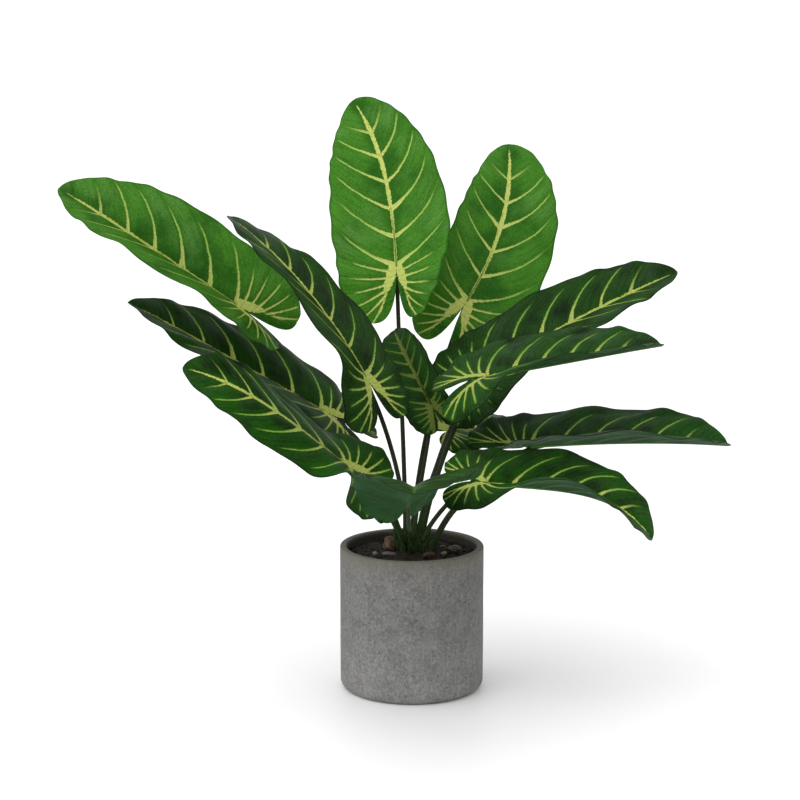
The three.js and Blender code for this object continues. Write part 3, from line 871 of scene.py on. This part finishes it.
def make_stalk(name, leaf, order):
    foot = np.array([*leaf["foot"], (SOIL_TOP if leaf["low"] else CLUMP_TOP) - 6.0])
    rise, bend, joint = (np.array(leaf[k], float) for k in ("rise", "bend", "joint"))
    end = joint - 2.2 * blade_axes(leaf, np.zeros(1))[1][0]
    share = np.linspace(0, 1, STALK_STEPS)
    s = share[:, None]
    path = ((1 - s) ** 3 * foot + 3 * (1 - s) ** 2 * s * rise
            + 3 * (1 - s) * s * s * bend + s**3 * end)
    run_in = midrib(leaf, RUN_IN) - RUN_IN_UNDER[:, None] * blade_axes(leaf, RUN_IN)[1]
    path = np.concatenate([path, run_in])
    radius = STALK_FOOT + (STALK_END - STALK_FOOT) * share
    radius = radius + 0.55 * np.exp(-share / 0.05) + 0.25 * np.exp(-(1 - share) / 0.03)
    slim = leaf["stout"] * (0.8 if name == "centre" else 0.94)
    radius = np.concatenate([radius, RUN_IN_RADIUS]) * slim
    points, faces = tube(path, radius, STALK_SIDES, channel=0.12)
    piece = make_piece(f"petiole_{name}", points * MM, faces, STALK, "stalk", f"stalk_{name}")
    up_share = np.repeat(np.linspace(0, 1, len(path)), STALK_SIDES)
    round_share = np.tile(np.abs(np.linspace(-1, 1, STALK_SIDES, endpoint=False)), len(path))
    set_charts(piece.data, stalk_chart=[np.append(up_share, [0, 1]),
                                        np.append(round_share, [0.5, 0.5]), 7.3 * order])
    return piece


stalks = [make_stalk(name, leaf, k) for k, (name, leaf) in enumerate(LEAVES.items())]
print("stalks:", len(stalks))

# %% [markdown]
# ## Stem clump
# All the stalks but one rise from one short clump. Each leaves it inside a
# clasping sheath, so the clump is a bundle of short, pointed sheaths around
# a core. They are joined into one closed skin with a fine voxel remesh, which
# also rounds the creases between them as growth does.

# %% Stem clump
CLUMP_RADIUS = 10.2
CLUMP_FOOT = SOIL_TOP - 4.0
SPIKES = 16
VOXEL = 0.0006


def make_clump():
    core_path = np.array([(0, 0, z) for z in np.linspace(CLUMP_FOOT, CLUMP_TOP + 3, 12)])
    core_radius = np.interp(core_path[:, 2], [SOIL_TOP, CLUMP_TOP, CLUMP_TOP + 3],
                            [CLUMP_RADIUS, 8.6, 5])
    parts = [tube(core_path, core_radius, 28)]
    s = np.linspace(0, 1, 16)[:, None]
    for leaf in LEAVES.values():
        foot = np.array(leaf["foot"], float)
        spread, high_by = (1.0, 12.0) if leaf["low"] else (1.08, 26.0)
        low = np.array([*foot * spread, CLUMP_FOOT])
        lean = unit(np.array(leaf["rise"], float) - (*foot, CLUMP_TOP))
        top = np.array([*foot, CLUMP_FOOT]) + lean * high_by * (0.55, 0.55, 1.0)
        top[:2] += 1.3 * unit(foot)
        radius = np.interp(s[:, 0], [0, 0.4, 0.75, 1], [3.3, 3.0, 2.3, 0.7])
        parts.append(tube(low + (top - low) * s, radius * leaf["stout"] ** 0.5, 14))
    rng = np.random.default_rng(5)
    s = np.linspace(0, 1, 14)[:, None]
    for k in range(SPIKES):
        turn = 2 * math.pi * (k + rng.uniform(-0.3, 0.3)) / SPIKES
        way = np.array([math.cos(turn), math.sin(turn), 0.0])
        high_by = rng.uniform(13, 25)
        low = way * CLUMP_RADIUS * rng.uniform(0.85, 1.0) + (0, 0, CLUMP_FOOT)
        path = low + s * (0, 0, high_by) + s**2 * way * rng.uniform(-1.5, 1.5)
        parts.append(tube(path, np.interp(s[:, 0], [0, 0.5, 1], [1.9, 1.5, 0.6]), 10))
    points, faces = merged(parts)
    piece = make_piece("stem_sheaths", points * MM, faces, STEM, "stem", "stem_clump")
    remesh = piece.modifiers.new("grow_together", "REMESH")
    remesh.mode = "VOXEL"
    remesh.voxel_size = VOXEL
    remesh.use_smooth_shade = True
    bpy.context.view_layer.update()
    graph = bpy.context.evaluated_depsgraph_get()
    joined = bpy.data.meshes.new_from_object(piece.evaluated_get(graph))
    piece.modifiers.clear()
    piece.data = joined
    return piece


STEM = Finish("stem", roughness=0.6, specular_ior_level=0.1)
stem_streak = STEM.noise(STEM.place((900.0, 900.0, 60.0)), 1.0, 3)
STEM.set(base_color=STEM.layers(
    (0.01, 0.022, 0.006),
    (STEM.noise(STEM.place(), 160, 3).step(0.3, 0.7), (0.026, 0.054, 0.014)),
    (stem_streak.step(0.5, 0.75) * 0.55, (0.06, 0.088, 0.03)),
    (stem_streak.step(0.46, 0.3) * 0.7, (0.006, 0.01, 0.004))))
STEM.bump(stem_streak, 0.0004)
clump = make_clump()
print("faces in the clump:", len(clump.data.polygons))

# %% [markdown]
# ## The cement pot
# The pot is cast cement: straight outside, with a rounded foot and a
# softened rim, and open at the top with a wall of 6 mm. A turned profile
# gives the shape. Real cast cement is never quite even, so every ring is
# moved by a fraction of a millimetre, and the finest pits are left to the
# finish.

# %% Cement finish
CEMENT = Finish("cement", roughness=0.85, specular_ior_level=0.25)
cement_at = CEMENT.place()
height_up, inside, _ = CEMENT.parts("pot_chart")
mottle = CEMENT.noise(cement_at, 60, 5, 0.65)
flecks = CEMENT.noise(cement_at, 330, 3, 0.6)
grain = CEMENT.noise(cement_at, 900, 3, 0.6)
drip = CEMENT.noise(CEMENT.place((520.0, 520.0, 45.0)), 1.0, 3, 0.6)
rare = CEMENT.noise(cement_at, 130, 2).step(0.5, 0.6)
pits = CEMENT.cells(cement_at, 420).step(0.24, 0.1) * rare
warm = height_up.step(0.8, 0.99) * mottle.step(0.3, 0.6)
# Painted shade: the inner wall below the rim is darkened.
inner_wall_shade = inside * height_up.step(0.995, 0.965)
cement_colour = CEMENT.layers(
    (0.14, 0.139, 0.131),
    (mottle.step(0.34, 0.66), (0.185, 0.183, 0.173)),
    (drip.step(0.45, 0.7) * 0.35, (0.245, 0.242, 0.228)),
    (flecks.step(0.5, 0.34) * 0.45, (0.082, 0.082, 0.079)),
    (flecks.step(0.52, 0.68) * 0.4, (0.28, 0.277, 0.262)),
    (grain.step(0.52, 0.4) * 0.28, (0.07, 0.07, 0.067)),
    (grain.step(0.56, 0.66) * 0.3, (0.33, 0.326, 0.308)),
    (pits * 0.8, (0.04, 0.04, 0.038)),
    (warm * 0.45, (0.17, 0.155, 0.115)),
    (height_up.step(0.93, 0.98) * 0.55, (0.125, 0.122, 0.09)),
    (inner_wall_shade * 0.8, (0.028, 0.022, 0.016)))
# Painted light: the cement is lightened towards the foot.
lift = height_up.step(0.65, 0.0) * 0.22 + 1.0
CEMENT.set(base_color=CEMENT.times(cement_colour, lift, lift, lift * 1.02))
CEMENT.bump(grain * 0.5 - pits + flecks * 0.8, 0.0008)
print("nodes in the cement finish:", len(CEMENT.tree.nodes))

# %% Pot
POT_RADIUS, POT_HIGH, POT_WALL, POT_FLOOR = 65.0, 132.0, 6.0, 10.0
FOOT_ROUND, RIM_ROUND = 8.0, 1.6
POT_SIDES = 220
WALL_UNEVEN, RIM_UNEVEN = 0.16, 0.07


def turned(profile, sides, wobble):
    """Turns a closed profile of (radius, height) about the upright axis."""
    angle = np.linspace(0, 2 * math.pi, sides, endpoint=False)
    points, rings = [], []
    for r, z in profile:
        if r < 1e-6:
            rings.append([len(points)])
            points.append((0, 0, z))
        else:
            rings.append(list(range(len(points), len(points) + sides)))
            dr, dz = wobble(r, z, angle)
            r = r + dr
            points += list(np.stack([r * np.cos(angle), r * np.sin(angle), z + dz], 1))
    return np.array(points), skin(rings)


def arc(centre_r, centre_z, radius, start, steps):
    """A quarter circle of a profile, from the start angle in degrees."""
    turn = np.radians(np.linspace(start, start + 90, steps))
    return [(centre_r + radius * math.cos(a), centre_z + radius * math.sin(a)) for a in turn]


def pot_wobble(r, z, angle):
    """Uneven walls and an uneven rim. The underside stays flat."""
    waves = sum(np.sin(k * angle + 1.7 * k + 0.09 * z * (k % 3 - 1)) / k
                for k in (2, 3, 5, 9, 14, 23))
    return WALL_UNEVEN * waves * (z >= 1.0), RIM_UNEVEN * waves * (z > POT_HIGH - 0.5)


pot_inner = POT_RADIUS - POT_WALL
pot_profile = [
    (0, 0), (30, 0), (50, 0),
    *arc(POT_RADIUS - FOOT_ROUND, FOOT_ROUND, FOOT_ROUND, -90, 12),
    *[(POT_RADIUS, z) for z in np.linspace(FOOT_ROUND + 3, POT_HIGH - RIM_ROUND - 2, 42)],
    *arc(POT_RADIUS - RIM_ROUND, POT_HIGH - RIM_ROUND, RIM_ROUND, 0, 6),
    *arc(pot_inner + RIM_ROUND, POT_HIGH - RIM_ROUND, RIM_ROUND, 90, 6),
    *[(pot_inner, z) for z in np.linspace(POT_HIGH - 4, POT_FLOOR + 4, 16)],
    (pot_inner - 4, POT_FLOOR), (0, POT_FLOOR)]
pot_points, pot_faces = turned(pot_profile, POT_SIDES, pot_wobble)
pot = make_piece("pot_casting", pot_points * MM, pot_faces, CEMENT, "cement", "cement_pot")
pot_inside = np.hypot(pot_points[:, 0], pot_points[:, 1]) < pot_inner + 1.0
set_charts(pot.data, pot_chart=[pot_points[:, 2] / POT_HIGH, pot_inside])
print("faces in the pot:", len(pot_faces))

# %% [markdown]
# ## The soil
# Potting soil is a crumbly dark mix of bark and peat. Its surface is a fine
# round grid that is lifted by several layers of noise, from broad humps to
# single crumbs, and some hundred loose crumbs lie on top, so that it looks
# like soil from close by too. A flat disc with a bump map gives itself away
# where it meets the wall.

# %% Soil finish
SOIL = Finish("soil", roughness=0.95, specular_ior_level=0.25)
soil_at = SOIL.place()
soil_tone = SOIL.noise(soil_at, 190, 4, 0.6)
soil_grain = SOIL.noise(soil_at, 900, 3, 0.6)
flake = SOIL.cells(soil_at, 260).step(0.2, 0.1) * soil_tone.step(0.5, 0.6)
SOIL.set(base_color=SOIL.layers(
    (0.008, 0.006, 0.004),
    (soil_tone.step(0.3, 0.7), (0.024, 0.019, 0.012)),
    (soil_grain.step(0.55, 0.7) * 0.5, (0.07, 0.05, 0.03)),
    (flake * 0.6, (0.12, 0.085, 0.05))))
SOIL.bump(soil_grain, 0.0006)
print("nodes in the soil finish:", len(SOIL.tree.nodes))

# %% Soil surface
SOIL_EDGE = 123.0
SOIL_SIDE_TOP = 60.0
SOIL_RINGS, SOIL_SPOKES = 74, 200
LATTICE = 64
# Size in millimetres, height in millimetres and seed of each layer of noise.
SOIL_RELIEF = ((11, 2.2, 1), (4.6, 1.5, 2), (2.1, 1.3, 3), (1.0, 0.5, 4))


def value_noise(x, y, size, seed):
    """Smooth noise from 0 to 1 on a square lattice of the given size in mm."""
    table = np.random.default_rng(seed).random((LATTICE, LATTICE))
    u, v = x / size, y / size
    i, j = np.floor(u).astype(int), np.floor(v).astype(int)
    fu, fv = smooth(u - i), smooth(v - j)
    a, b, c, d = (table[(i + di) % LATTICE, (j + dj) % LATTICE]
                  for di, dj in ((0, 0), (1, 0), (0, 1), (1, 1)))
    return (a * (1 - fu) + b * fu) * (1 - fv) + (c * (1 - fu) + d * fu) * fv


def soil_height(x, y):
    base = np.interp(np.hypot(x, y), [0, 14, 36.4, 58.7],
                     [SOIL_TOP, SOIL_TOP, SOIL_EDGE + 2.5, SOIL_EDGE])
    return base + sum(high * (value_noise(x, y, size, seed) - 0.5)
                      for size, high, seed in SOIL_RELIEF)


def soil_wobble(r, z, angle):
    """Lifts the surface's rings to the soil's height and leaves the side's alone."""
    if z <= SOIL_SIDE_TOP:
        return 0, 0 * angle
    return 0, soil_height(r * np.cos(angle), r * np.sin(angle)) - z


soil_radius = pot_inner - 0.05
soil_profile = [
    (0, POT_FLOOR + 0.3), (soil_radius - 4.5, POT_FLOOR + 0.3), (soil_radius, POT_FLOOR + 5),
    (soil_radius, SOIL_SIDE_TOP),
    *[(soil_radius * (1 - ring / SOIL_RINGS), SOIL_TOP) for ring in range(SOIL_RINGS)],
    (0, SOIL_TOP)]
soil_points, soil_faces = turned(soil_profile, SOIL_SPOKES, soil_wobble)
make_piece("soil_bed", soil_points * MM, soil_faces, SOIL, "soil", "potting_soil")
print("faces in the soil:", len(soil_faces))

# %% [markdown]
# ## Loose crumbs, chips and pebbles
# Stones and bark are lumps that no two of which are alike. Each starts as a
# fine ball, is stretched to its own size and is then pushed in and out by
# noise: gently for a worn pebble, in flat facets for a split chip. Chips of
# bark also get ridges along their grain.

# %% Lumps
def ball(cuts):
    """Points and faces of a round ball, cut finer with each step."""
    g = (1 + 5**0.5) / 2
    points = [(-1, g, 0), (1, g, 0), (-1, -g, 0), (1, -g, 0), (0, -1, g), (0, 1, g),
              (0, -1, -g), (0, 1, -g), (g, 0, -1), (g, 0, 1), (-g, 0, -1), (-g, 0, 1)]
    points = [tuple(unit(np.array(p, float))) for p in points]
    faces = [(0, 11, 5), (0, 5, 1), (0, 1, 7), (0, 7, 10), (0, 10, 11), (1, 5, 9), (5, 11, 4),
             (11, 10, 2), (10, 7, 6), (7, 1, 8), (3, 9, 4), (3, 4, 2), (3, 2, 6), (3, 6, 8),
             (3, 8, 9), (4, 9, 5), (2, 4, 11), (6, 2, 10), (8, 6, 7), (9, 8, 1)]
    for _ in range(cuts):
        middle, finer = {}, []

        def between(a, b):
            key = (min(a, b), max(a, b))
            if key not in middle:
                middle[key] = len(points)
                points.append(tuple(unit(np.add(points[a], points[b]))))
            return middle[key]

        for a, b, c in faces:
            ab, bc, ca = between(a, b), between(b, c), between(c, a)
            finer += [(a, ab, ca), (b, bc, ab), (c, ca, bc), (ab, bc, ca)]
        faces = finer
    return np.array(points), faces


def lump(size, cuts, rng, facets, rough):
    """A stone or chip: a ball cut by random planes, then roughened."""
    points, faces = ball(cuts)
    for _ in range(facets):
        way = unit(rng.normal(size=3))
        over = np.maximum(points @ way - rng.uniform(0.62, 0.9), 0)
        points = points - 0.92 * over[:, None] * way
    px, py, pz = (points * 2.2 + rng.uniform(0, 60, 3)).T
    bumps = (value_noise(px + pz, py, 1.0, 11) - 0.5
             + 0.5 * (value_noise(py * 2.3, pz * 2.3 + px, 1.0, 12) - 0.5))
    points = points * (1 + rough * bumps)[:, None]
    return points * np.array(size) / 2, faces


def seat(points, x, y, turn, sink):
    """Turns a lump about the upright axis and lets it sink a little into the soil."""
    c, s = math.cos(turn), math.sin(turn)
    px, py, pz = points.T
    ground = float(soil_height(np.array([x]), np.array([y]))[0])
    lift = ground - pz.min() - sink
    return np.stack([c * px - s * py + x, s * px + c * py + y, pz + lift], 1)


print("ball points:", len(ball(3)[0]))

# %% Crumbs on the soil
CRUMBS = 420
CRUMB_SIZES, CRUMB_ODDS = [1.4, 1.9, 2.6, 3.6, 5.0], [0.3, 0.3, 0.22, 0.13, 0.05]
crumb_rng = np.random.default_rng(7)
crumb_parts = []
while len(crumb_parts) < CRUMBS:
    r = soil_radius * math.sqrt(crumb_rng.random())
    a = crumb_rng.uniform(0, 2 * math.pi)
    grain_size = float(crumb_rng.choice(CRUMB_SIZES, p=CRUMB_ODDS))
    if r > soil_radius - grain_size * 0.8 or r < 13:
        continue
    size = grain_size * crumb_rng.uniform(0.6, 1.2, 3) * (1.2, 0.9, 0.7)
    shape, faces = lump(size, 1 if grain_size < 2.2 else 2, crumb_rng, 3, 0.35)
    turn = crumb_rng.uniform(0, 6.28)
    placed = seat(shape, r * math.cos(a), r * math.sin(a), turn, 0.35 * size[2])
    crumb_parts.append((placed, faces))
crumb_points, crumb_faces = merged(crumb_parts)
make_piece("soil_crumbs", crumb_points * MM, crumb_faces, SOIL, "soil")
print("faces in the crumbs:", len(crumb_faces))

# %% [markdown]
# ## Chip and pebble finishes
# Stones differ mainly in colour and in how large their specks are, so one
# recipe makes all of them: two tones in soft patches, then specks. Bark has
# its noise drawn out along the grain instead.

# %% Chips and pebbles
STONE_SINK = 0.8
stone_rng = np.random.default_rng(19)
stones = []


def add_stone(name, slot, at, size, plain, other, specks, turn=0.0, facets=3, rough=0.12,
              scale=300, stretch=(1.0, 1.0, 1.0), look=None):
    finish = Finish(look or slot, roughness=0.75, specular_ior_level=0.35)
    patch = finish.noise(finish.place(stretch), scale, 4, 0.6)
    dots = finish.noise(finish.place(), 1300, 2)
    finish.set(base_color=finish.layers(
        plain, (patch.step(0.35, 0.65), other), (dots.step(0.56, 0.64) * 0.7, specks)))
    finish.bump(patch + dots * 0.4, 0.0005)
    shape, faces = lump(size, 4 if size[0] > 8 else 3, stone_rng, facets, rough)
    placed = seat(shape, *at, turn, STONE_SINK)
    stones.append(make_piece(f"{name}_detail", placed * MM, faces, finish, slot, name))


# Each has its place and size in millimetres, then three colours: plain, patches
# and specks.
add_stone("bark_chip", "bark", (-20, 0), (14, 12, 14),
          (0.12, 0.076, 0.042), (0.055, 0.034, 0.02), (0.25, 0.17, 0.1),
          turn=0.4, facets=9, rough=0.3, scale=240, stretch=(1.0, 1.0, 0.35))
add_stone("slate_chip", "slate", (-20, -14), (16, 9, 4),
          (0.07, 0.053, 0.054), (0.12, 0.098, 0.1), (0.18, 0.15, 0.15),
          turn=-0.1, facets=8, scale=200)
add_stone("pale_pebble", "pale_stone", (-33, -17), (5, 5, 4),
          (0.11, 0.098, 0.07), (0.17, 0.15, 0.11), (0.3, 0.27, 0.2))
add_stone("speckled_pebble", "speckled_stone", (38, -3), (14, 11, 8),
          (0.025, 0.021, 0.018), (0.065, 0.056, 0.046), (0.26, 0.23, 0.18),
          turn=0.3, facets=5, rough=0.15, scale=170)
add_stone("red_bark_chip", "red_bark", (15, -25), (13, 9, 6),
          (0.075, 0.03, 0.018), (0.035, 0.018, 0.012), (0.2, 0.08, 0.04),
          turn=0.2, facets=8, rough=0.3, scale=260, stretch=(0.4, 1.0, 1.0))
add_stone("tan_pebble", "tan_stone", (28.5, 12), (5, 4, 4),
          (0.12, 0.086, 0.046), (0.19, 0.145, 0.085), (0.27, 0.22, 0.14))
add_stone("sand_pebble", "tan_stone", (29, -12), (6, 5, 4),
          (0.13, 0.1, 0.058), (0.2, 0.165, 0.1), (0.28, 0.235, 0.16),
          turn=0.8, look="sand_stone")
add_stone("olive_pebble", "olive_stone", (20.5, 10), (6, 5, 4),
          (0.12, 0.11, 0.04), (0.18, 0.165, 0.075), (0.26, 0.24, 0.13),
          turn=0.6, facets=4, rough=0.15)
print("chips and pebbles:", len(stones))
